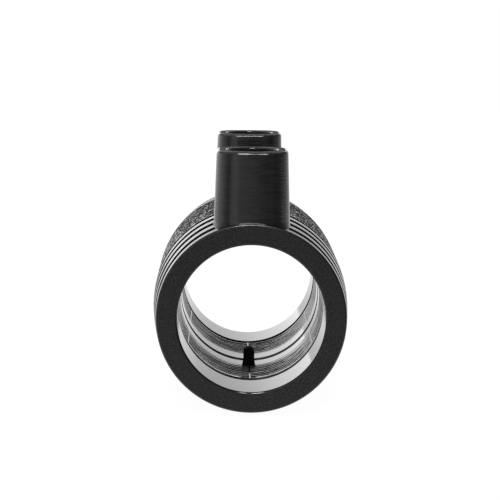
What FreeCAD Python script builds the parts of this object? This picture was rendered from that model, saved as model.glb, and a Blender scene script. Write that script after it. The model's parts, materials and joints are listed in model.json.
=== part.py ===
# Electrofusion coupler for 32 mm polyethylene pipe, in millimetres.
# The bore lies along Y, the front socket opens towards -Y and the terminals stand up along +Z.
# The origin is the centre of the front socket's mouth.
import FreeCAD, Part
import os
import Sketcher

# Driving dimensions: alias, value, what it measures.
SIZES = (
    ("body_length", 72.0, "end face to end face"),
    ("bore_diameter", 32.4, "socket bore, free fit on a 32 mm pipe"),
    ("end_diameter", 41.6, "outside, at the end face"),
    ("barrel_diameter", 44.2, "outside, round the middle"),
    ("taper_length", 21.0, "end face to where the outside is full"),
    ("groove_inset", 2.5, "end face to the middle of the first outer groove"),
    ("groove_pitch", 5.9, "from one outer groove to the next"),
    ("groove_width", 1.6, "each outer groove at its mouth"),
    ("groove_depth", 0.45, "each outer groove, under the surface of the taper"),
    ("stop_width", 2.6, "each pipe stop, across the bore"),
    ("stop_height", 3.1, "each pipe stop, from the bore's wall inwards"),
    ("stop_thickness", 3.0, "each pipe stop, along the bore"),
    ("stop_round", 0.7, "slanted corner of each pipe stop's tip"),
    ("terminal_inset", 10.0, "end face to the axis of its terminal"),
    ("shroud_top", 36.2, "bore axis to the rim of each terminal shroud"),
    ("shroud_width", 15.4, "shroud across the coupler, at its rim"),
    ("shroud_length", 16.4, "shroud along the coupler, at its rim"),
    ("shroud_corner", 4.3, "corner radius of the shroud, at its rim"),
    ("shroud_draft", 1.8, "lean of the shroud's sides, in degrees"),
    ("shroud_rim_bevel", 0.5, "broken outer edge of the shroud's rim"),
    ("shroud_root", 0.35, "wall left between a winding and the root of its shroud"),
    ("well_diameter", 11.0, "round well inside each shroud"),
    ("well_depth", 13.4, "rim to the floor of the well"),
    ("pin_diameter", 4.7, "contact pin that the welding lead pushes on to"),
    ("pin_recess", 4.7, "rim of the shroud down to the tip of the pin"),
    ("pin_chamfer", 0.5, "bevel at the tip of the pin"),
    ("collar_height", 2.2, "collar that anchors the pin under the well's floor"),
    ("collar_flare", 0.5, "how much wider the collar is at its foot than at the floor"),
    ("collar_margin", 0.25, "collar's foot beyond the wire's end that is welded under it"),
    ("wire_diameter", 0.8, "coated wire where it runs alone, inside the wall"),
    ("winding_offset", 2.6, "terminal's axis to the first turn of its winding"),
    ("winding_length", 17.0, "first turn to last turn of each winding"),
    ("winding_recess", 0.2, "bore's wall back to the face of the turns"),
    ("winding_depth", 1.1, "bore's wall back to the seat behind the turns"),
    ("wire_rise", 0.55, "first turn to the middle of the wire's rising end"),
    ("wire_overlap", 1.5, "how far the crossing wire reaches into each winding"),
    ("indicator_spacing", 22.0, "between the two fusion indicators, along the coupler"),
    ("indicator_diameter", 3.2, "plug of each fusion indicator"),
    ("indicator_depth", 2.6, "top of the collar down to the foot of the plug"),
    ("indicator_recess", 0.5, "top of the collar down to the plug"),
    ("indicator_collar", 6.2, "moulded ring round each indicator"),
    ("indicator_rise", 0.9, "ring over the top of the barrel"),
    ("indicator_root", 1.2, "how deep the ring roots in the wall"),
)
GROOVES = 4
FULL_TURN = 360

doc = FreeCAD.newDocument("electrofusion_coupler")
sheet = doc.addObject("Spreadsheet::Sheet", "Sizes")
for row, (alias, value, meaning) in enumerate(SIZES, start=1):
    sheet.set(f"A{row}", alias.replace("_", " "))
    sheet.set(f"B{row}", str(value))
    sheet.set(f"C{row}", meaning)
    sheet.setAlias(f"B{row}", alias)
doc.recompute()

# Heights and places that several features share, as expressions on the sheet.
BORE = "Sizes.bore_diameter / 2"
BARREL = "Sizes.barrel_diameter / 2"
MIDDLE = "Sizes.body_length / 2"
WINDING_START = "Sizes.terminal_inset + Sizes.winding_offset"
WINDING_END = f"{WINDING_START} + Sizes.winding_length"
LAYER_BACK = f"{BORE} + Sizes.winding_depth"
LAYER_FACE = f"{BORE} + Sizes.winding_recess"
LAYER_MIDDLE = f"({LAYER_FACE} + {LAYER_BACK}) / 2"
SHROUD_FOOT = f"{LAYER_BACK} + Sizes.shroud_root"
WELL_FLOOR = "Sizes.shroud_top - Sizes.well_depth"
COLLAR_FOOT = f"{WELL_FLOOR} - Sizes.collar_height"
COLLAR_RADIUS = "Sizes.winding_offset + Sizes.wire_rise + Sizes.wire_diameter / 2 + Sizes.collar_margin"
INDICATOR_TOP = f"{BARREL} + Sizes.indicator_rise"


def from_end(distance, end):
    """Place along the bore, a distance in from the front or the rear end face."""
    return distance if end == "front" else f"Sizes.body_length - ({distance})"


def new_body(name):
    body = doc.addObject("PartDesign::Body", name)
    body.Label = name
    return body


def new_sketch(body, name, plane, height=None, along=None):
    """Sketch on one of the body's origin planes, raised and shifted by expressions."""
    sketch = body.newObject("Sketcher::SketchObject", name)
    support = next(item for item in body.Origin.OriginFeatures if item.Role == plane)
    sketch.AttachmentSupport = (support, [""])
    sketch.MapMode = "FlatFace"
    if height:
        sketch.setExpression("AttachmentOffset.Base.z", height)
    if along:
        sketch.setExpression("AttachmentOffset.Base.y", along)
    return sketch


def place(sketch, geometry, point, across, up):
    """Fix a point of a sketch at a distance across and up from the sketch's origin."""
    for kind, expression in (("DistanceX", across), ("DistanceY", up)):
        if expression == "0":
            kind_of_zero = "PointOnObject"
            axis = -2 if kind == "DistanceX" else -1
            sketch.addConstraint(Sketcher.Constraint(kind_of_zero, geometry, point, axis))
            continue
        index = sketch.addConstraint(Sketcher.Constraint(kind, -1, 1, geometry, point, 1.0))
        sketch.setExpression(f"Constraints[{index}]", expression)


def outline(sketch, corners):
    """Closed outline of straight edges through corners given as expressions."""
    first = sketch.GeometryCount
    count = len(corners)
    ring = Part.makeCircle(10).discretize(Number=count + 1)
    for start, end in zip(ring, ring[1:]):
        sketch.addGeometry(Part.LineSegment(start, end), False)
    for step in range(count):
        after = (step + 1) % count
        sketch.addConstraint(Sketcher.Constraint("Coincident", first + step, 2, first + after, 1))
    for step, (across, up) in enumerate(corners):
        place(sketch, first + step, 1, across, up)


def circle(sketch, diameter, across="0", up="0"):
    index = sketch.addGeometry(Part.Circle(FreeCAD.Vector(1, 1, 0), FreeCAD.Vector(0, 0, 1), 1), False)
    place(sketch, index, 3, across, up)
    size = sketch.addConstraint(Sketcher.Constraint("Diameter", index, 2.0))
    sketch.setExpression(f"Constraints[{size}]", diameter)


def rounded_rectangle(sketch, width, length, corner):
    """Rectangle with round corners, centred on the sketch's origin."""
    half, radius = 10.0, 2.0
    centre = half - radius
    vector = FreeCAD.Vector
    edges = (
        (vector(-centre, -half, 0), vector(centre, -half, 0)),
        (vector(half, -centre, 0), vector(half, centre, 0)),
        (vector(centre, half, 0), vector(-centre, half, 0)),
        (vector(-half, centre, 0), vector(-half, -centre, 0)),
    )
    bends = ((centre, -centre), (centre, centre), (-centre, centre), (-centre, -centre))
    diagonal = radius * 0.5 ** 0.5
    for side, (start, end) in enumerate(edges):
        across, up = bends[side]
        towards = vector(diagonal if across > 0 else -diagonal, diagonal if up > 0 else -diagonal, 0)
        sketch.addGeometry(Part.LineSegment(start, end), False)
        following = edges[(side + 1) % 4][0]
        sketch.addGeometry(Part.Arc(end, vector(across, up, 0) + towards, following), False)
    for side in range(4):
        line, bend, following = 2 * side, 2 * side + 1, (2 * side + 2) % 8
        sketch.addConstraint(Sketcher.Constraint("Tangent", line, 2, bend, 1))
        sketch.addConstraint(Sketcher.Constraint("Tangent", bend, 2, following, 1))
        if side:
            sketch.addConstraint(Sketcher.Constraint("Equal", 1, bend))
    for line, kind in ((0, "Horizontal"), (2, "Vertical"), (4, "Horizontal"), (6, "Vertical")):
        sketch.addConstraint(Sketcher.Constraint(kind, line))
    sizes = (
        (Sketcher.Constraint("DistanceY", 0, 1, -1, 1, half), f"({length}) / 2"),
        (Sketcher.Constraint("DistanceX", -1, 1, 2, 1, half), f"({width}) / 2"),
        (Sketcher.Constraint("DistanceY", -1, 1, 4, 1, half), f"({length}) / 2"),
        (Sketcher.Constraint("DistanceX", 6, 1, -1, 1, half), f"({width}) / 2"),
        (Sketcher.Constraint("Radius", 1, radius), corner),
    )
    for constraint, expression in sizes:
        index = sketch.addConstraint(constraint)
        sketch.setExpression(f"Constraints[{index}]", expression)


def revolved(body, name, kind, sketch, axis):
    """Full turn of a sketch about its own horizontal or vertical axis."""
    feature = body.newObject(f"PartDesign::{kind}", name)
    feature.Profile = sketch
    feature.ReferenceAxis = (sketch, [axis])
    feature.Angle = FULL_TURN
    doc.recompute()
    return feature


def extruded(body, name, kind, sketch, depth, backwards=False, both_ways=False):
    feature = body.newObject(f"PartDesign::{kind}", name)
    feature.Profile = sketch
    feature.setExpression("Length", depth)
    feature.Reversed = backwards
    if both_ways:
        feature.SideType = "Symmetric"
    doc.recompute()
    return feature


def barrel(body):
    """Tube with tapered ends: the outside and the bore in one turned outline."""
    slope = [("0", BORE), ("0", "Sizes.end_diameter / 2"), ("Sizes.taper_length", BARREL)]
    far_side = [(from_end(across, "rear"), up) for across, up in reversed(slope)]
    sketch = new_sketch(body, "barrel_outline", "YZ_Plane")
    outline(sketch, slope + far_side)
    revolved(body, "barrel", "Revolution", sketch, "H_Axis")


def shroud_form(end):
    """Square tower with round corners: drawn at its rim, drafted down to its foot, rim bevelled."""
    body = new_body(f"shroud_form_{end}")
    rim = new_sketch(body, f"shroud_rim_{end}", "XY_Plane", "Sizes.shroud_top")
    rounded_rectangle(rim, "Sizes.shroud_width", "Sizes.shroud_length", "Sizes.shroud_corner")
    tower = extruded(body, f"shroud_tower_{end}", "Pad", rim, f"Sizes.shroud_top - ({SHROUD_FOOT})", True)
    faces = list(enumerate(tower.Shape.Faces, start=1))
    top = max(faces, key=lambda face: face[1].CenterOfMass.z)
    sides = [f"Face{number}" for number, face in faces if abs(face.normalAt(0, 0).z) < 0.5]
    draft = body.newObject("PartDesign::Draft", f"shroud_draft_{end}")
    draft.Base = (tower, sides)
    draft.NeutralPlane = (tower, [f"Face{top[0]}"])
    draft.setExpression("Angle", "Sizes.shroud_draft")
    doc.recompute()
    if draft.Shape.Volume <= tower.Shape.Volume:
        raise RuntimeError("the shroud's sides lean inwards")
    rim_edges = [
        f"Edge{number}" for number, edge in enumerate(draft.Shape.Edges, start=1)
        if edge.BoundBox.ZMin > sheet.shroud_top - 1e-6
    ]
    bevel = body.newObject("PartDesign::Chamfer", f"shroud_rim_bevel_{end}")
    bevel.Base = (draft, rim_edges)
    bevel.setExpression("Size", "Sizes.shroud_rim_bevel")
    body.setExpression("Placement.Base.y", from_end("Sizes.terminal_inset", end))
    doc.recompute()
    return body


def shroud(body, end):
    joined = body.newObject("PartDesign::Boolean", f"shroud_{end}")
    joined.setObjects([shroud_form(end)])
    joined.Type = "Fuse"
    doc.recompute()


def well(body, end):
    """Round blind well, cut down into the shroud from its rim."""
    sketch = new_sketch(body, f"well_outline_{end}", "XY_Plane", "Sizes.shroud_top",
                        from_end("Sizes.terminal_inset", end))
    circle(sketch, "Sizes.well_diameter")
    extruded(body, f"well_{end}", "Pocket", sketch, "Sizes.well_depth")


def indicator_place(end):
    sign = "-" if end == "front" else "+"
    return f"{MIDDLE} {sign} Sizes.indicator_spacing / 2"


def indicator_ring(body, end):
    """Low moulded ring on the crown of the barrel, with the recess over its plug."""
    top = new_sketch(body, f"indicator_ring_outline_{end}", "XY_Plane", INDICATOR_TOP, indicator_place(end))
    circle(top, "Sizes.indicator_collar")
    extruded(body, f"indicator_ring_{end}", "Pad", top, "Sizes.indicator_rise + Sizes.indicator_root", True)
    mouth = new_sketch(body, f"indicator_mouth_{end}", "XY_Plane", INDICATOR_TOP, indicator_place(end))
    circle(mouth, "Sizes.indicator_diameter")
    extruded(body, f"indicator_recess_{end}", "Pocket", mouth, "Sizes.indicator_recess")


def outer_grooves(body, end):
    """Round grooves that follow the taper, each as deep as the others under its surface."""
    sketch = new_sketch(body, f"outer_groove_outline_{end}", "YZ_Plane")
    climb = "(Sizes.barrel_diameter - Sizes.end_diameter) / (2 * Sizes.taper_length)"
    for number in range(GROOVES):
        middle = f"Sizes.groove_inset + {number} * Sizes.groove_pitch"
        surface = f"Sizes.end_diameter / 2 + ({middle}) * {climb}"
        above = f"{surface} + Sizes.groove_depth"
        near = from_end(f"{middle} - Sizes.groove_width", end)
        far = from_end(f"{middle} + Sizes.groove_width", end)
        outline(sketch, [
            (near, above),
            (from_end(middle, end), f"{surface} - Sizes.groove_depth"),
            (far, above),
        ])
    revolved(body, f"outer_grooves_{end}", "Groove", sketch, "H_Axis")


def winding_seat(body, end):
    """Shallow recess round the bore that the layer of turns fills."""
    sketch = new_sketch(body, f"winding_seat_outline_{end}", "YZ_Plane")
    near = from_end(WINDING_START, end)
    far = from_end(WINDING_END, end)
    inside = f"{BORE} - Sizes.winding_depth"
    outline(sketch, [(near, inside), (near, LAYER_BACK), (far, LAYER_BACK), (far, inside)])
    revolved(body, f"winding_seat_{end}", "Groove", sketch, "H_Axis")


def pipe_stops(body):
    """Two small stops, at the top and the bottom of the bore, where the pipes' ends meet."""
    sketch = new_sketch(body, "pipe_stop_outline", "XZ_Plane", f"-({MIDDLE})")
    half = "Sizes.stop_width / 2"
    tip = f"{BORE} - Sizes.stop_height"
    root = f"{BORE} + Sizes.winding_depth / 2"
    for sign in ("", "-"):
        outline(sketch, [
            (f"-{half}", f"{sign}({root})"),
            (f"-{half}", f"{sign}({tip} + Sizes.stop_round)"),
            (f"-({half} - Sizes.stop_round)", f"{sign}({tip})"),
            (f"{half} - Sizes.stop_round", f"{sign}({tip})"),
            (half, f"{sign}({tip} + Sizes.stop_round)"),
            (half, f"{sign}({root})"),
        ])
    extruded(body, "pipe_stops", "Pad", sketch, "Sizes.stop_thickness", both_ways=True)


def build_moulding():
    """One black polyethylene moulding: tube, shrouds, rings, stops and grooves."""
    body = new_body("moulding")
    barrel(body)
    for end in ("front", "rear"):
        outer_grooves(body, end)
        winding_seat(body, end)
    pipe_stops(body)
    for end in ("front", "rear"):
        shroud(body, end)
        well(body, end)
        indicator_ring(body, end)
    return body


def winding(body, end):
    """Close turns of coated wire, run together into one layer that lies just behind the bore's wall."""
    sketch = new_sketch(body, f"winding_outline_{end}", "YZ_Plane")
    near = from_end(WINDING_START, end)
    far = from_end(WINDING_END, end)
    outline(sketch, [(near, LAYER_FACE), (near, LAYER_BACK), (far, LAYER_BACK), (far, LAYER_FACE)])
    revolved(body, f"winding_{end}", "Revolution", sketch, "H_Axis")


def lead(body, end):
    """The wire's end: straight up from the first turn to the underside of the pin's collar."""
    sketch = new_sketch(body, f"lead_outline_{end}", "XY_Plane", LAYER_MIDDLE,
                        from_end(f"{WINDING_START} + Sizes.wire_rise", end))
    circle(sketch, "Sizes.wire_diameter")
    extruded(body, f"lead_{end}", "Pad", sketch, f"{COLLAR_FOOT} - ({LAYER_MIDDLE})")


def build_heating_coil():
    """One resistance wire: two windings, the crossing between them and an end to each terminal."""
    body = new_body("heating_coil")
    start = f"{WINDING_END} - Sizes.wire_overlap"
    crossing = new_sketch(body, "crossing_outline", "XZ_Plane", f"-({start})")
    circle(crossing, "Sizes.wire_diameter", across=LAYER_MIDDLE)
    extruded(body, "crossing", "Pad", crossing, f"Sizes.body_length - 2 * ({start})", True)
    for end in ("front", "rear"):
        winding(body, end)
        lead(body, end)
    return body


def build_terminal_pin(end):
    """Turned brass pin: contact pin on a flared collar that the plastic grips and the wire is welded to."""
    body = new_body(f"terminal_pin_{end}")
    sketch = new_sketch(body, f"pin_outline_{end}", "YZ_Plane")
    tip = "Sizes.shroud_top - Sizes.pin_recess"
    outline(sketch, [
        ("0", tip),
        ("Sizes.pin_diameter / 2 - Sizes.pin_chamfer", tip),
        ("Sizes.pin_diameter / 2", f"{tip} - Sizes.pin_chamfer"),
        ("Sizes.pin_diameter / 2", WELL_FLOOR),
        (f"{COLLAR_RADIUS} - Sizes.collar_flare", WELL_FLOOR),
        (COLLAR_RADIUS, COLLAR_FOOT),
        ("0", COLLAR_FOOT),
    ])
    revolved(body, f"pin_{end}", "Revolution", sketch, "V_Axis")
    body.setExpression("Placement.Base.y", from_end("Sizes.terminal_inset", end))
    return body


def build_indicator(end):
    """Small plug that rises in its ring when the joint has fused."""
    body = new_body(f"fusion_indicator_{end}")
    sketch = new_sketch(body, f"plug_outline_{end}", "XY_Plane", f"{INDICATOR_TOP} - Sizes.indicator_recess")
    circle(sketch, "Sizes.indicator_diameter")
    extruded(body, f"plug_{end}", "Pad", sketch, "Sizes.indicator_depth - Sizes.indicator_recess", True)
    body.setExpression("Placement.Base.y", indicator_place(end))
    return body


def mould_round(moulding, inserts):
    """The moulding sets round its inserts, so each one leaves its own shape in the plastic."""
    shell = moulding
    for insert in inserts:
        cut = doc.addObject("Part::Cut", f"seat_of_{insert.Name}")
        cut.Base = shell
        cut.Tool = insert
        shell = cut
    shell.Label = "coupler_body"
    doc.recompute()
    return shell


def check(parts):
    for item in doc.Objects:
        if "Invalid" in item.State or "Error" in item.State:
            raise RuntimeError(f"{item.Name} failed: {item.State}")
    for part in parts:
        shape = part.Shape
        if shape.isNull() or not shape.isValid() or len(shape.Solids) != 1:
            raise RuntimeError(f"{part.Label} isn't one sound solid")
        print(part.Label, "volume", round(shape.Volume, 2), "mm3")


inserts = [build_heating_coil()]
inserts += [build_terminal_pin(end) for end in ("front", "rear")]
inserts += [build_indicator(end) for end in ("front", "rear")]
parts = [mould_round(build_moulding(), inserts)] + inserts
doc.recompute()
check(parts)
os.makedirs("parts", exist_ok=True)
for part in parts:
    part.Shape.exportStep(f"parts/{part.Label}.step")
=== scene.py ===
import json
import math

import bmesh
import bpy
from mathutils import Matrix, Vector, noise


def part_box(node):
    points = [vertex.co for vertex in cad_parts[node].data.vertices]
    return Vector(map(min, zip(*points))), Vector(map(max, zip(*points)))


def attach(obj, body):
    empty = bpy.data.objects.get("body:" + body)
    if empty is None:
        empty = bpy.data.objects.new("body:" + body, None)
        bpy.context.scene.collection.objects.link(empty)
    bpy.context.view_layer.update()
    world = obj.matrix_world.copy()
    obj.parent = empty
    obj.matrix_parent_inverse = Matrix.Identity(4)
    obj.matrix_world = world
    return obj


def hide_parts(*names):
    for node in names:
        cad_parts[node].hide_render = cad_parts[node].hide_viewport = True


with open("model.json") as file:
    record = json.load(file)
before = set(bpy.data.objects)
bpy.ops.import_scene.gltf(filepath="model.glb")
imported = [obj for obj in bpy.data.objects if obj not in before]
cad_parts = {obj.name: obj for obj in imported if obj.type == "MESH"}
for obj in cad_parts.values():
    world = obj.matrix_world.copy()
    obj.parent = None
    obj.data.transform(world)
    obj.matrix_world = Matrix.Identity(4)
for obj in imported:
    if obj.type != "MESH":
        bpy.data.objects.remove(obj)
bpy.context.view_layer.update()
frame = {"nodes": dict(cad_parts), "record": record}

# The tube is one black polyethylene moulding: two sockets end to end in one wall. The core
# that shaped the bore was polished, the end faces came out flat and matt, the tapers satin
# with rough grooves painted near black as shade, and the barrel between them has a coarse
# mould grain for grip.
MM = 0.001
TOUCH = 0.001 * MM
SLACK = 0.01 * MM
MOUNTS = {mount["name"]: mount for mount in frame["record"]["mounts"]}
BODY_LOW, BODY_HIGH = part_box("coupler_body")
COIL_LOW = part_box("heating_coil")[0]
MIDDLE = (BODY_LOW.y + BODY_HIGH.y) / 2
BARREL_RADIUS = BODY_HIGH.x
BORE_RADIUS = MOUNTS["front_socket"]["dims"]["r_mm"] * MM
SEAT_RADIUS = -COIL_LOW.x
WINDING_START = COIL_LOW.y
WINDING_LENGTH = 17.0 * MM
END_RADIUS = 20.8 * MM
TAPER_LENGTH = 21.0 * MM
TAPER_SWELL = 1.3
GROOVES = 4
GROOVE_INSET = 3.7 * MM
GROOVE_PITCH = 5.5 * MM
GROOVE_WIDTH = 2.9 * MM
GROOVE_DEPTH = 0.6 * MM
GROOVE_FLANK = 0.05 * MM
GROOVE_ROUND = 0.03 * MM
GROOVE_LEAST = 0.1 * MM
RIM_ROUND = 0.35 * MM
MOUTH_ROUND = 0.4 * MM
ROUND_STEPS = 3
WITNESS_FLANK = 0.1 * MM
WITNESS_WIDTH = 2.8 * MM
WITNESS_DEPTH = 0.5 * MM
GRAIN_START = 22.0 * MM
GRAIN_MARGIN = 0.1 * MM
GRAIN_ROWS = 54
GRAIN_DEPTH = 0.55 * MM
GRAIN_SIZE = 0.52 * MM
GRAIN_PLATEAU = 0.25
FINER = 2.1
FINER_SHARE = 0.5
TUBE_STEPS = 440
SHARP_TURN = math.radians(35)


def taper_radius(along):
    """Outside of the tube at a distance in from the end face: the taper swells towards the barrel."""
    left = max(0.0, 1.0 - along / TAPER_LENGTH)
    return BARREL_RADIUS - (BARREL_RADIUS - END_RADIUS) * left ** TAPER_SWELL


def wire(mesh, corners):
    """Open outline of straight edges through corners given as (along the bore, radius)."""
    verts = [mesh.verts.new((0.0, along, radius)) for along, radius in corners]
    for start, end in zip(verts, verts[1:]):
        mesh.edges.new((start, end))
    return verts


def round_corners(mesh, corners, radius, segments):
    """Rounds an outline where it turns at these (along the bore, radius) corners."""
    verts = [vert for vert in mesh.verts
             if any(math.dist(vert.co.yz, corner) < TOUCH for corner in corners)]
    bmesh.ops.bevel(mesh, geom=verts, offset=radius, offset_type="OFFSET", segments=segments,
                    profile=0.5, affect="VERTICES", material=-1)


def turn(mesh, steps):
    """Full turn of everything in the mesh about the bore's axis."""
    bmesh.ops.spin(mesh, geom=mesh.verts[:] + mesh.edges[:], cent=(0, 0, 0), axis=(0, 1, 0),
                   dvec=(0, 0, 0), angle=math.tau, steps=steps, use_merge=True,
                   use_normal_flip=False, use_duplicate=False)
    bmesh.ops.remove_doubles(mesh, verts=mesh.verts[:], dist=TOUCH)


def mirror_to_rear(mesh):
    """The rear half is the front half mirrored at the middle of the coupler."""
    half = mesh.verts[:] + mesh.edges[:] + mesh.faces[:]
    bmesh.ops.translate(mesh, vec=(0.0, -MIDDLE, 0.0), verts=mesh.verts[:])
    bmesh.ops.mirror(mesh, geom=half, merge_dist=TOUCH, axis="Y")
    bmesh.ops.translate(mesh, vec=(0.0, MIDDLE, 0.0), verts=mesh.verts[:])


def finish_piece(mesh, name, materials, *nodes):
    """Turns a mesh into a piece of the coupler that stands for the given nodes."""
    bmesh.ops.recalc_face_normals(mesh, faces=mesh.faces[:])
    for face in mesh.faces:
        face.smooth = True
    data = bpy.data.meshes.new(name)
    mesh.to_mesh(data)
    mesh.free()
    data.set_sharp_from_angle(angle=SHARP_TURN)
    for material in materials:
        data.materials.append(material)
    piece = bpy.data.objects.new(name, data)
    bpy.context.collection.objects.link(piece)
    shading = piece.modifiers.new("even_shading", "WEIGHTED_NORMAL")
    shading.keep_sharp = True
    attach(piece, "root")
    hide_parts(*nodes)


class Signal:
    """An output in a shader tree. Sums, differences and products become Math nodes."""

    def __init__(self, tree, output):
        self.tree = tree
        self.output = output

    def node(self, kind, settings, inputs, result=0):
        """Any other node: settings first, then the values or links of its sockets."""
        made = self.tree.nodes.new(kind)
        for name, value in settings.items():
            setattr(made, name, value)
        for name, value in inputs.items():
            if isinstance(value, Signal):
                self.tree.links.new(value.output, made.inputs[name])
            else:
                made.inputs[name].default_value = value
        return Signal(self.tree, made.outputs[result])

    def maths(self, operation, first, second):
        """One sum, difference or product of signals or plain numbers."""
        return self.node("ShaderNodeMath", {"operation": operation}, {0: first, 1: second})

    def __add__(self, other):
        return self.maths("ADD", self, other)

    def __rsub__(self, other):
        return self.maths("SUBTRACT", other, self)

    def __mul__(self, other):
        return self.maths("MULTIPLY", self, other)

    __radd__ = __add__
    __rmul__ = __mul__

    def feed(self, shader, socket):
        """Links this to a socket of a shader."""
        self.tree.links.new(self.output, shader.inputs[socket])

    def ramp(self, low, high, start, end):
        """Start to end while this goes from low to high, held flat outside."""
        return self.node("ShaderNodeMapRange", {"interpolation_type": "SMOOTHSTEP"},
                         {"Value": self, "From Min": low, "From Max": high,
                          "To Min": start, "To Max": end})

    def speckle(self, size, detail=2.0):
        """Noise from 0 to 1 with spots of about this size."""
        return self.node("ShaderNodeTexNoise", {}, {"Vector": self, "Scale": 1.0 / size,
                                                    "Detail": detail})

    def tint(self, dark, light):
        """Colour from dark to light as this goes from 0 to 1."""
        return self.node("ShaderNodeMix", {"data_type": "RGBA"},
                         {0: self, 6: (*dark, 1.0), 7: (*light, 1.0)}, 2)

    def relief(self, depth, strength):
        """Bumps of this depth, raised where the signal is high."""
        return self.node("ShaderNodeBump", {}, {"Height": self, "Distance": depth,
                                                "Strength": strength})

    def stretched(self, across, along, up):
        """The place scaled along each axis: spots read from it grow long where it is small."""
        return self.node("ShaderNodeMapping", {}, {"Vector": self, "Scale": (across, along, up)})


def plastic(name, roughness):
    """Material with its shader and the place of each point on the coupler."""
    material = bpy.data.materials.new(name)
    material.use_nodes = True
    tree = material.node_tree
    shader = tree.nodes["Principled BSDF"]
    shader.inputs["IOR"].default_value = 1.5
    shader.inputs["Roughness"].default_value = roughness
    where = Signal(tree, tree.nodes.new("ShaderNodeTexCoord").outputs["Object"])
    return material, shader, where


def cut_face():
    """Matt end face: a fine even grain on dull black."""
    material, shader, where = plastic("matt_face", 0.55)
    shader.inputs["Specular IOR Level"].default_value = 0.28
    grain = where.speckle(0.45 * MM, 3.0).ramp(0.35, 0.65, 0.0, 1.0)
    grain.tint((0.001, 0.001, 0.001), (0.0105, 0.0105, 0.011)).feed(shader, "Base Color")
    (0.5 + 0.2 * where.speckle(2.0 * MM)).feed(shader, "Roughness")
    grain.relief(0.08 * MM, 0.8).feed(shader, "Normal")
    return material


def polished_wall():
    """Bore: mirror polish with the faintest drift."""
    material, shader, where = plastic("polished_bore", 0.07)
    drift = where.speckle(7.0 * MM, 1.0)
    drift.tint((0.003, 0.003, 0.003), (0.0045, 0.0045, 0.0045)).feed(shader, "Base Color")
    (0.05 + 0.05 * drift).feed(shader, "Roughness")
    return material


def satin_taper():
    """Tapers: satin, with fine marks of the mould's machining along the tube."""
    material, shader, where = plastic("satin_taper", 0.2)
    hatch = where.stretched(1.0, 0.05, 1.0).speckle(0.35 * MM, 2.0)
    hatch.tint((0.004, 0.004, 0.004), (0.008, 0.008, 0.008)).feed(shader, "Base Color")
    (0.12 + 0.14 * hatch).feed(shader, "Roughness")
    hatch.relief(0.012 * MM, 0.6).feed(shader, "Normal")
    return material


def rough_moulding():
    """Grooves and pipe stops: rough, with a near-black colour and weak specular painted on as shade.
    """
    material, shader, where = plastic("rough_moulding", 0.8)
    # Painted shade: the near-black colour and the weak specular stand in for the shade in the grooves
    # and on the stops' faces.
    shader.inputs["Specular IOR Level"].default_value = 0.1
    dust = where.speckle(0.5 * MM)
    dust.tint((0.0005, 0.0005, 0.0005), (0.002, 0.002, 0.002)).feed(shader, "Base Color")
    return material


def grained_barrel():
    """Barrel: the relief is real, and this adds its finest pits."""
    material, shader, where = plastic("grained_barrel", 0.3)
    pits = where.speckle(0.3 * MM, 3.0)
    pits.tint((0.004, 0.004, 0.004), (0.014, 0.014, 0.014)).feed(shader, "Base Color")
    (0.06 + 0.12 * pits).feed(shader, "Roughness")
    pits.relief(0.02 * MM, 0.3).feed(shader, "Normal")
    return material


def grain(place):
    """Height of the coarse mould grain at a point, above and below zero."""
    pebbles = noise.noise(place / GRAIN_SIZE)
    return pebbles + FINER_SHARE * noise.noise(place * (FINER / GRAIN_SIZE))


tube = bmesh.new()
outside = [(MIDDLE, BARREL_RADIUS), (GRAIN_START, taper_radius(GRAIN_START))]
for number in reversed(range(GROOVES)):
    middle = GROOVE_INSET + number * GROOVE_PITCH
    for side in (1, -1):
        brink = middle + side * GROOVE_WIDTH / 2
        foot = brink - side * GROOVE_FLANK
        wall = [(brink, taper_radius(brink)), (foot, taper_radius(middle) - GROOVE_DEPTH)]
        outside += wall if side > 0 else reversed(wall)
groove_corners = outside[2:]
rim = (0.0, END_RADIUS)
mouth = (0.0, BORE_RADIUS)
outside += [rim, mouth]
outside += [
    (WINDING_START, BORE_RADIUS),
    (WINDING_START, SEAT_RADIUS),
    (WINDING_START + WINDING_LENGTH, SEAT_RADIUS),
    (WINDING_START + WINDING_LENGTH, BORE_RADIUS),
    (MIDDLE - WITNESS_WIDTH / 2, BORE_RADIUS),
    (MIDDLE - WITNESS_WIDTH / 2 + WITNESS_FLANK, BORE_RADIUS + WITNESS_DEPTH),
    (MIDDLE, BORE_RADIUS + WITNESS_DEPTH),
]
wire(tube, outside)
round_corners(tube, groove_corners, GROOVE_ROUND, 1)
round_corners(tube, [rim], RIM_ROUND, ROUND_STEPS)
round_corners(tube, [mouth], MOUTH_ROUND, ROUND_STEPS)
crown = [edge for edge in tube.edges
         if min(vert.co.y for vert in edge.verts) > GRAIN_START - GRAIN_MARGIN
         and min(vert.co.z for vert in edge.verts) > END_RADIUS]
bmesh.ops.subdivide_edges(tube, edges=crown, cuts=GRAIN_ROWS)
turn(tube, TUBE_STEPS)
mirror_to_rear(tube)
bmesh.ops.recalc_face_normals(tube, faces=tube.faces[:])
FACE, BORE, TAPER, GROOVE, GRAIN = range(5)
for face in tube.faces:
    centre = face.calc_center_median()
    in_from_end = MIDDLE - abs(centre.y - MIDDLE)
    radius = math.hypot(centre.x, centre.z)
    if in_from_end < TOUCH:
        face.material_index = FACE
    elif radius < SEAT_RADIUS + SLACK:
        face.material_index = BORE
    elif in_from_end > GRAIN_START:
        face.material_index = GRAIN
    # Groove faces take the near-black material: painted shade in the grooves.
    elif in_from_end > GROOVE_INSET / 2 and radius < taper_radius(in_from_end) - GROOVE_LEAST:
        face.material_index = GROOVE
    else:
        face.material_index = TAPER
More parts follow.
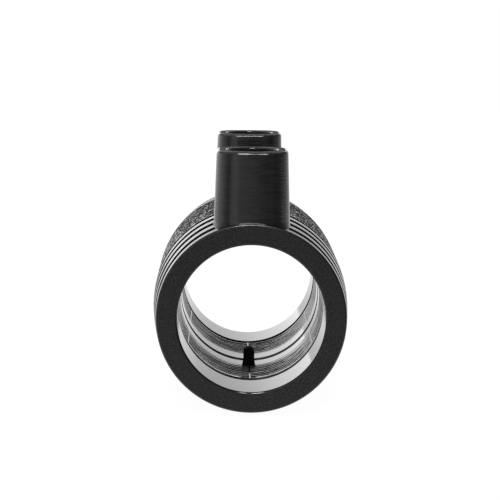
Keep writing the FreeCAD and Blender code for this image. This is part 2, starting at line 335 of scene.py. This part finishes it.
for vert in tube.verts:
    in_from_end = MIDDLE - abs(vert.co.y - MIDDLE)
    radius = math.hypot(vert.co.x, vert.co.z)
    if in_from_end > GRAIN_START + GRAIN_MARGIN and radius > END_RADIUS:
        outwards = Vector((vert.co.x, 0.0, vert.co.z)).normalized()
        vert.co += outwards * GRAIN_DEPTH * min(0.0, grain(vert.co) - GRAIN_PLATEAU)
finish_piece(tube, "tube",
             [cut_face(), polished_wall(), satin_taper(), rough_moulding(), grained_barrel()],
             "coupler_body")

# Each winding is resistance wire in a thin black coat. Its close turns were fused into one
# layer when the tube was moulded round them, so they show in the bore as fine ridges. A
# smooth bead and a narrow gap border the layer on the side of the near mouth.
LAYER_SETBACK = 0.03 * MM
LAYER_FACE = BORE_RADIUS + LAYER_SETBACK
RIDGE_PITCH = 1.9 * MM
RIDGE_HEIGHT = 0.18 * MM
RIDGE_POINTS = 6
RIDGE_FADE = 5.0
LAYER_GAP = 0.06 * MM
BORDER_GAP = 2.4 * MM
BORDER_DEPTH = 0.5 * MM
BEAD_END = 4.2 * MM
BEAD_RISE = 0.1 * MM
BEAD_FALL = 0.4 * MM
COIL_STEPS = 360


def fused_turns():
    """Coated wire: glossy, a little uneven from turn to turn."""
    material, shader, where = plastic("fused_turns", 0.12)
    uneven = where.stretched(0.22, 1.0, 0.22).speckle(1.4 * MM, 4.0).ramp(0.35, 0.65, 0.0, 1.0)
    uneven.tint((0.003, 0.003, 0.003), (0.009, 0.009, 0.009)).feed(shader, "Base Color")
    (0.06 + 0.24 * uneven).feed(shader, "Roughness")
    uneven.relief(0.06 * MM, 0.9).feed(shader, "Normal")
    return material


coil = bmesh.new()
layer = [(WINDING_START + LAYER_GAP, SEAT_RADIUS - LAYER_GAP),
         (WINDING_START + LAYER_GAP, LAYER_FACE + BORDER_DEPTH),
         (WINDING_START + BORDER_GAP, LAYER_FACE + BORDER_DEPTH),
         (WINDING_START + BORDER_GAP + BEAD_RISE, LAYER_FACE),
         (WINDING_START + BEAD_END - BEAD_FALL, LAYER_FACE)]
ridged = WINDING_LENGTH - BEAD_END - 2 * LAYER_GAP
ridge_count = round(ridged / RIDGE_PITCH)
for step in range(ridge_count * RIDGE_POINTS + 1):
    share = step / (ridge_count * RIDGE_POINTS)
    hollow = 0.5 + 0.5 * math.cos(math.tau * ridge_count * share)
    fade = min(1.0, RIDGE_FADE * (1.0 - share))
    layer.append((WINDING_START + BEAD_END + ridged * share,
                  LAYER_FACE + RIDGE_HEIGHT * hollow * fade))
layer.append((WINDING_START + BEAD_END + ridged, SEAT_RADIUS - LAYER_GAP))
section = wire(coil, layer)
coil.edges.new((section[-1], section[0]))
turn(coil, COIL_STEPS)
mirror_to_rear(coil)
finish_piece(coil, "windings", [fused_turns()], "heating_coil")

# The core that shaped the bore closed in six segments. Each joint between them left a thin
# smooth flash along the bore, flush with its wall, across both windings.
SEGMENTS = 6
FLASH_WIDTH = 0.3 * MM
FLASH_ROOT = 0.6 * MM
FLASH_SETBACK = 2.2 * MM
FLASH_OVERRUN = 1.0 * MM
FLASH_LENGTH = WINDING_LENGTH - FLASH_SETBACK + FLASH_OVERRUN

flash = bmesh.new()
for number in range(SEGMENTS):
    bar = bmesh.ops.create_cube(flash, size=1.0)["verts"]
    bmesh.ops.scale(flash, vec=(FLASH_WIDTH, FLASH_LENGTH, FLASH_ROOT), verts=bar)
    centre = (0.0, WINDING_START + FLASH_SETBACK + FLASH_LENGTH / 2, BORE_RADIUS + FLASH_ROOT / 2)
    bmesh.ops.translate(flash, vec=centre, verts=bar)
    bmesh.ops.rotate(flash, cent=(0, 0, 0), verts=bar,
                     matrix=Matrix.Rotation(math.tau * number / SEGMENTS, 3, "Y"))
mirror_to_rear(flash)
finish_piece(flash, "core_flash", [bpy.data.materials["polished_bore"]], "coupler_body")

# The two pipe stops are short lugs of the same moulding with rounded tips, at the top and
# the bottom of the bore. They halt the pipes' ends at the middle of the coupler.
STOP_WIDTH = 2.6 * MM
STOP_HEIGHT = 3.1 * MM
STOP_LENGTH = 3.0 * MM
STOP_ROOT = 0.5 * MM
STOP_ROUND = 1.15 * MM
STOP_ROUND_STEPS = 4
EDGE_BREAK = 0.12 * MM
EDGE_BREAK_STEPS = 2
EDGE_TURN = math.radians(60)

for side, word in ((-1, "lower"), (1, "upper")):
    stop = bmesh.new()
    bmesh.ops.create_cube(stop, size=1.0)
    bmesh.ops.scale(stop, vec=(STOP_WIDTH, STOP_LENGTH, STOP_HEIGHT + STOP_ROOT), verts=stop.verts)
    centre = BORE_RADIUS + STOP_ROOT - (STOP_HEIGHT + STOP_ROOT) / 2
    bmesh.ops.translate(stop, vec=(0.0, MIDDLE, side * centre), verts=stop.verts)
    tip = [edge for edge in stop.edges
           if all(abs(vert.co.z) < BORE_RADIUS - STOP_HEIGHT / 2 for vert in edge.verts)
           and abs(edge.verts[0].co.y - edge.verts[1].co.y) > STOP_LENGTH / 2]
    bmesh.ops.bevel(stop, geom=tip, offset=STOP_ROUND, offset_type="OFFSET",
                    segments=STOP_ROUND_STEPS, profile=0.5, affect="EDGES", material=-1)
    rims = [edge for edge in stop.edges if edge.calc_face_angle(0.0) > EDGE_TURN]
    bmesh.ops.bevel(stop, geom=rims, offset=EDGE_BREAK, offset_type="OFFSET",
                    segments=EDGE_BREAK_STEPS, profile=0.5, affect="EDGES", material=-1)
    # The stops take the grooves' near-black material: painted shade on their faces.
    finish_piece(stop, f"pipe_stop_{word}", [bpy.data.materials["rough_moulding"]], "coupler_body")

# Each terminal shroud is a square tower of the same moulding, drafted so that it left the
# mould, with a round well round the contact pin. Its root is faired into the tube.
SHROUD_WIDTH = 15.3 * MM
SHROUD_LENGTH = 16.4 * MM
SHROUD_CORNER = 4.3 * MM
CORNER_STEPS = 9
WALL_COLUMNS = 9
SHROUD_LEAN = math.tan(math.radians(1.8))
SHROUD_TOP = BODY_HIGH.z
FOOT_COVER = 0.35 * MM
SHROUD_FOOT = SEAT_RADIUS + FOOT_COVER
SHROUD_HEIGHT = SHROUD_TOP - SHROUD_FOOT
SHROUD_CROWN = 0.45 * MM
SIDE_CROWN_SHARE = 0.5
SHROUD_RIM = 0.6 * MM
SHROUD_RIM_STEPS = 4
FLAT = 0.99
FAIRING = 0.15 * MM
WELL_RADIUS = 5.5 * MM
WELL_DEPTH = 13.4 * MM
WELL_LIP = 0.35 * MM
LIP_STEPS = 4
CIRCLE_STEPS = 64
WALL_LEVELS = 26
COLLAR_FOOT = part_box("terminal_pin_front")[0].z
COLLAR_FOOT_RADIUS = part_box("terminal_pin_front")[1].x
COLLAR_FLARE = 0.5 * MM


def shroud_skin():
    """Shroud: satin with faint flow marks across and upright streaks from the draft."""
    material, shader, where = plastic("shroud_skin", 0.3)
    flow = where.stretched(0.12, 0.12, 1.0).speckle(0.4 * MM, 3.0).ramp(0.35, 0.65, 0.0, 1.0)
    streaks = where.stretched(1.0, 1.0, 0.06).speckle(2.2 * MM, 2.0)
    blend = 0.4 * flow + 0.6 * streaks
    blend.tint((0.004, 0.004, 0.0042), (0.017, 0.017, 0.0175)).feed(shader, "Base Color")
    (0.08 + 0.18 * blend).feed(shader, "Roughness")
    flow.relief(0.014 * MM, 0.6).feed(shader, "Normal")
    return material


def shroud_brim():
    """Flat top of a shroud: matt where the mould halves met, with a fine dust of pits."""
    material, shader, where = plastic("shroud_brim", 0.6)
    shader.inputs["Specular IOR Level"].default_value = 0.16
    dust = where.speckle(0.35 * MM, 3.0)
    dust.tint((0.006, 0.006, 0.0063), (0.02, 0.02, 0.0205)).feed(shader, "Base Color")
    (0.5 + 0.2 * dust).feed(shader, "Roughness")
    return material


def ring_round(mesh, height, radius):
    """Circle of edges about the upright axis."""
    made = bmesh.ops.create_circle(mesh, cap_ends=False, radius=radius, segments=CIRCLE_STEPS)
    bmesh.ops.translate(mesh, vec=(0.0, 0.0, height), verts=made["verts"])
    return list({edge for vert in made["verts"] for edge in vert.link_edges})


def draw_down(mesh, edges, height, radius):
    """Extrudes a circle of edges to a new height and radius and returns its new edges."""
    made = bmesh.ops.extrude_edge_only(mesh, edges=edges)["geom"]
    verts = [item for item in made if isinstance(item, bmesh.types.BMVert)]
    old = math.hypot(verts[0].co.x, verts[0].co.y)
    bmesh.ops.scale(mesh, vec=(radius / old, radius / old, 1.0), verts=verts)
    bmesh.ops.translate(mesh, vec=(0.0, 0.0, height - verts[0].co.z), verts=verts)
    return [item for item in made if isinstance(item, bmesh.types.BMEdge)]


def upright_edges(shroud):
    """Edges that run up most of a wall."""
    return [edge for edge in shroud.edges
            if abs(edge.verts[0].co.z - edge.verts[1].co.z) > SHROUD_HEIGHT / 2]


def at_top(edge):
    """Whether an edge lies in the plane of a shroud's top."""
    return min(vert.co.z for vert in edge.verts) > SHROUD_TOP - SLACK


def straight_walls():
    """The four walls, upright and flat, with round corners, a round rim, no top and no foot."""
    shroud = bmesh.new()
    bmesh.ops.create_cube(shroud, size=1.0)
    bmesh.ops.scale(shroud, vec=(SHROUD_WIDTH, SHROUD_LENGTH, SHROUD_HEIGHT), verts=shroud.verts)
    bmesh.ops.translate(shroud, vec=(0.0, 0.0, SHROUD_FOOT + SHROUD_HEIGHT / 2),
                        verts=shroud.verts)
    bmesh.ops.bevel(shroud, geom=upright_edges(shroud), offset=SHROUD_CORNER,
                    offset_type="OFFSET", segments=CORNER_STEPS, profile=0.5, affect="EDGES",
                    material=-1)
    level = [edge for edge in shroud.edges if edge.calc_length() > SHROUD_WIDTH / 4
             and abs(edge.verts[0].co.z - edge.verts[1].co.z) < SHROUD_HEIGHT / 2]
    bmesh.ops.subdivide_edges(shroud, edges=level, cuts=WALL_COLUMNS, use_grid_fill=True)
    brink = [edge for edge in shroud.edges if at_top(edge)]
    bmesh.ops.bevel(shroud, geom=brink, offset=SHROUD_RIM, offset_type="OFFSET",
                    segments=SHROUD_RIM_STEPS, profile=0.5, affect="EDGES", material=-1)
    shroud.normal_update()
    caps = [face for face in shroud.faces if abs(face.normal.z) > FLAT]
    bmesh.ops.delete(shroud, geom=caps, context="FACES_ONLY")
    bmesh.ops.subdivide_edges(shroud, edges=upright_edges(shroud), cuts=WALL_LEVELS,
                              use_grid_fill=True)
    return shroud


def draft_walls(shroud):
    """Leans the walls out towards the foot and gives them a slight crown."""
    for vert in shroud.verts:
        across, along = vert.co.x, vert.co.y
        lean = SHROUD_LEAN * (SHROUD_TOP - vert.co.z)
        crown_along = max(0.0, 1.0 - (across / (SHROUD_WIDTH / 2)) ** 2)
        crown_across = max(0.0, 1.0 - (along / (SHROUD_LENGTH / 2)) ** 2)
        wider = lean + SHROUD_CROWN * crown_across * SIDE_CROWN_SHARE
        longer = lean + SHROUD_CROWN * (crown_along - 1.0)
        vert.co.x = across * (1.0 + wider / (SHROUD_WIDTH / 2))
        vert.co.y = along * (1.0 + longer / (SHROUD_LENGTH / 2))


def fair_root(shroud, place):
    """Spreads the walls where they run into the tube, in a quarter round."""
    shroud.normal_update()
    for vert in shroud.verts:
        tube_radius = taper_radius(MIDDLE - abs(place + vert.co.y - MIDDLE))
        above = vert.co.z - math.sqrt(max(0.0, tube_radius ** 2 - vert.co.x ** 2))
        if above < FAIRING:
            drop = FAIRING - max(0.0, above)
            push = FAIRING - math.sqrt(FAIRING ** 2 - drop ** 2)
            outwards = Vector((vert.normal.x, vert.normal.y, 0.0)).normalized()
            vert.co += outwards * push


def sink_well(shroud):
    """Fills the top round the well's mouth and draws the well down to the pin's collar."""
    brim = [edge for edge in shroud.edges if edge.is_boundary and at_top(edge)]
    mouth = ring_round(shroud, SHROUD_TOP, WELL_RADIUS + WELL_LIP)
    bmesh.ops.triangle_fill(shroud, use_beauty=True, use_dissolve=False, edges=brim + mouth,
                            normal=(0.0, 0.0, 1.0))
    for step in range(1, LIP_STEPS + 1):
        turned = math.pi / 2 * step / LIP_STEPS
        mouth = draw_down(shroud, mouth, SHROUD_TOP - WELL_LIP * (1.0 - math.cos(turned)),
                          WELL_RADIUS + WELL_LIP * (1.0 - math.sin(turned)))
    floor = draw_down(shroud, mouth, SHROUD_TOP - WELL_DEPTH, WELL_RADIUS)
    seat = draw_down(shroud, floor, SHROUD_TOP - WELL_DEPTH, COLLAR_FOOT_RADIUS - COLLAR_FLARE)
    seat = draw_down(shroud, seat, COLLAR_FOOT, COLLAR_FOOT_RADIUS)
    bmesh.ops.contextual_create(shroud, geom=seat)


def tower(place):
    """One shroud with its well, centred at this distance along the bore."""
    shroud = straight_walls()
    draft_walls(shroud)
    fair_root(shroud, place)
    sink_well(shroud)
    root = [edge for edge in shroud.edges if edge.is_boundary]
    bmesh.ops.contextual_create(shroud, geom=root)
    bmesh.ops.recalc_face_normals(shroud, faces=shroud.faces[:])
    for face in shroud.faces:
        flat = face.normal.z > FLAT and face.calc_center_median().z > SHROUD_TOP - SLACK
        face.material_index = int(flat)
    bmesh.ops.translate(shroud, vec=(0.0, place, 0.0), verts=shroud.verts)
    return shroud


skin = shroud_skin()
brim_skin = shroud_brim()
for end in ("front", "rear"):
    place = MOUNTS[f"terminal_{end}"]["pos_m"][1]
    finish_piece(tower(place), f"terminal_shroud_{end}", [skin, brim_skin], "coupler_body")

# Beside each shroud a low ring holds a fusion indicator: a small plug that rises when the
# joint is made. The ring belongs to the moulding and the plug is pressed into it.
RING_RADIUS = 3.1 * MM
RING_TOP = BARREL_RADIUS + 0.9 * MM
RING_ROOT = 1.2 * MM
RING_BREAK = 0.15 * MM
HOLE_BREAK = 0.1 * MM
PLUG_PLAY = 0.02 * MM


def indicator_ring(place, plug_low, plug_high):
    """Moulded ring round one plug, with broken edges inside and out."""
    ring = bmesh.new()
    foot = BARREL_RADIUS - RING_ROOT
    base = ring_round(ring, foot, RING_RADIUS)
    edges = draw_down(ring, base, RING_TOP - RING_BREAK, RING_RADIUS)
    edges = draw_down(ring, edges, RING_TOP, RING_RADIUS - RING_BREAK)
    hole = plug_high.x + PLUG_PLAY
    edges = draw_down(ring, edges, RING_TOP, hole + HOLE_BREAK)
    edges = draw_down(ring, edges, RING_TOP - HOLE_BREAK, hole)
    edges = draw_down(ring, edges, plug_low.z, hole)
    bmesh.ops.contextual_create(ring, geom=edges)
    bmesh.ops.contextual_create(ring, geom=base)
    bmesh.ops.translate(ring, vec=(0.0, place, 0.0), verts=ring.verts)
    return ring


for end in ("front", "rear"):
    plug_low, plug_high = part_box(f"fusion_indicator_{end}")
    place = (plug_low.y + plug_high.y) / 2
    finish_piece(indicator_ring(place, plug_low, plug_high), f"indicator_ring_{end}", [skin],
                 "coupler_body")

# The plugs themselves are plain black polyethylene, cut from rod, so they are duller than
# the moulding. Each is pressed into the hole of its ring.


def cut_rod():
    """Indicator plug: dull, with fine light spots."""
    material, shader, where = plastic("indicator_plug", 0.5)
    spots = where.speckle(0.25 * MM, 3.0)
    spots.tint((0.012, 0.012, 0.0125), (0.028, 0.028, 0.029)).feed(shader, "Base Color")
    (0.42 + 0.2 * spots).feed(shader, "Roughness")
    return material


def coat(material, node):
    """Puts the real piece's finish on a solid whose shape is shown as it is."""
    frame["nodes"][node].data.materials.clear()
    frame["nodes"][node].data.materials.append(material)


rod = cut_rod()
for end in ("front", "rear"):
    coat(rod, f"fusion_indicator_{end}")

# The contact pins are turned brass with a thin dull coat of tin that has worn unevenly.
# Each stands in the middle of its well, held in the floor by a flared collar.


def turned_brass():
    """Contact pin: tinned brass with fine rings from the lathe."""
    material, shader, where = plastic("turned_brass", 0.25)
    shader.inputs["Metallic"].default_value = 1.0
    tin = where.speckle(1.4 * MM, 4.0)
    tin.tint((0.62, 0.45, 0.2), (0.78, 0.68, 0.48)).feed(shader, "Base Color")
    rings = where.stretched(0.02, 0.02, 1.0).speckle(0.12 * MM, 2.0)
    (0.16 + 0.2 * rings).feed(shader, "Roughness")
    rings.relief(0.01 * MM, 0.5).feed(shader, "Normal")
    return material


brass = turned_brass()
for end in ("front", "rear"):
    coat(brass, f"terminal_pin_{end}")

# The coupler is shown on a plain white sweep under soft studio light: a bright wall behind
# it, less light from the sides, little from in front, and two narrow lamps over the camera.
FLOOR_DROP = 0.1 * MM
FLOOR_FRONT = 80.0 * MM
FLOOR_REACH = 1.2
FLOOR_SHADE = 0.08
FLOOR_GLOW = 0.97
BACKDROP = 1.25
WALL_LIGHT = 2.3
OVERHEAD_LIGHT = 0.35
FRONT_LIGHT = 0.9
LAMP_LIGHT = 34.0
RIGHT_LAMP_SHARE = 0.8
bpy.context.scene.view_settings.view_transform = "Standard"

sweep = bmesh.new()
bmesh.ops.create_grid(sweep, x_segments=1, y_segments=1, size=FLOOR_REACH / 2)
bmesh.ops.translate(sweep, verts=sweep.verts,
                    vec=(0.0, FLOOR_REACH / 2 - FLOOR_FRONT, -BARREL_RADIUS - FLOOR_DROP))
floor_data = bpy.data.meshes.new("sweep")
sweep.to_mesh(floor_data)
sweep.free()
floor = bpy.data.objects.new("sweep", floor_data)
bpy.context.collection.objects.link(floor)
floor_material = bpy.data.materials.new("white_sweep")
floor_material.use_nodes = True
floor_shader = floor_material.node_tree.nodes["Principled BSDF"]
floor_shader.inputs["Base Color"].default_value = (FLOOR_SHADE, FLOOR_SHADE, FLOOR_SHADE, 1.0)
floor_shader.inputs["Roughness"].default_value = 1.0
floor_shader.inputs["Specular IOR Level"].default_value = 0.0
floor_shader.inputs["Emission Color"].default_value = (1.0, 1.0, 1.0, 1.0)
floor_shader.inputs["Emission Strength"].default_value = FLOOR_GLOW
floor_data.materials.append(floor_material)

studio = bpy.data.worlds.new("studio")
bpy.context.scene.world = studio
studio.use_nodes = True
tree = studio.node_tree
tree.nodes.clear()
direction = Signal(tree, tree.nodes.new("ShaderNodeTexCoord").outputs["Generated"])
axes = tree.nodes.new("ShaderNodeSeparateXYZ")
tree.links.new(direction.output, axes.inputs[0])
rightwards, onwards, upwards = (Signal(tree, output) for output in axes.outputs)
behind = onwards.ramp(-0.1, 0.75, 0.0, 1.0)
bright_wall = WALL_LIGHT * behind * upwards.ramp(0.2, 0.45, 1.0, 0.04)
bright_wall = bright_wall * rightwards.ramp(-0.25, 0.35, 1.0, 0.45)
sides = (1.0 - behind) * rightwards.ramp(-0.9, 0.9, 1.1, 0.25) * onwards.ramp(-0.8, 0.2, 0.12, 1.0)
overhead = upwards.ramp(0.3, 1.0, 0.0, OVERHEAD_LIGHT)
front = onwards.ramp(-0.95, -0.6, FRONT_LIGHT, 0.0) * rightwards.ramp(-0.2, 0.14, 1.0, 0.1)
front = front * upwards.ramp(-0.5, 0.3, 0.6, 1.2)
left_lamp = rightwards.ramp(-0.13, -0.1, 0.0, 1.0) * rightwards.ramp(-0.02, 0.02, 1.0, 0.0)
right_lamp = rightwards.ramp(0.05, 0.08, 0.0, 1.0) * rightwards.ramp(0.12, 0.15, 1.0, 0.0)
lamps = upwards.ramp(0.45, 0.55, 0.0, LAMP_LIGHT) * upwards.ramp(0.75, 0.85, 1.0, 0.0)
lamps = lamps * onwards.ramp(-0.5, -0.4, 1.0, 0.0) * (left_lamp + RIGHT_LAMP_SHARE * right_lamp)
glow = bright_wall + sides + overhead + front + lamps
seen = Signal(tree, tree.nodes.new("ShaderNodeLightPath").outputs["Is Camera Ray"])
strength = seen * BACKDROP + (1.0 - seen) * glow
background = tree.nodes.new("ShaderNodeBackground")
strength.feed(background, "Strength")
output = tree.nodes.new("ShaderNodeOutputWorld")
tree.links.new(background.outputs[0], output.inputs[0])

# The camera stands about 0.38 m in front, a little above the bore's axis, and looks down
# into the near socket.
EYE = Vector((-5.87, -377.61, 67.83)) * MM
YAW = math.radians(0.82)
PITCH = math.radians(-7.93)
ROLL = math.radians(0.54)
LENS = 127.1
camera_data = bpy.data.cameras.new("camera")
camera_data.lens = LENS
camera_data.sensor_width = 36.0
camera_data.clip_start = 0.01
camera = bpy.data.objects.new("camera", camera_data)
turned = Matrix.Rotation(-YAW, 4, "Z") @ Matrix.Rotation(math.pi / 2 + PITCH, 4, "X")
camera.matrix_world = Matrix.Translation(EYE) @ turned @ Matrix.Rotation(ROLL, 4, "Z")
bpy.context.collection.objects.link(camera)
bpy.context.scene.camera = camera
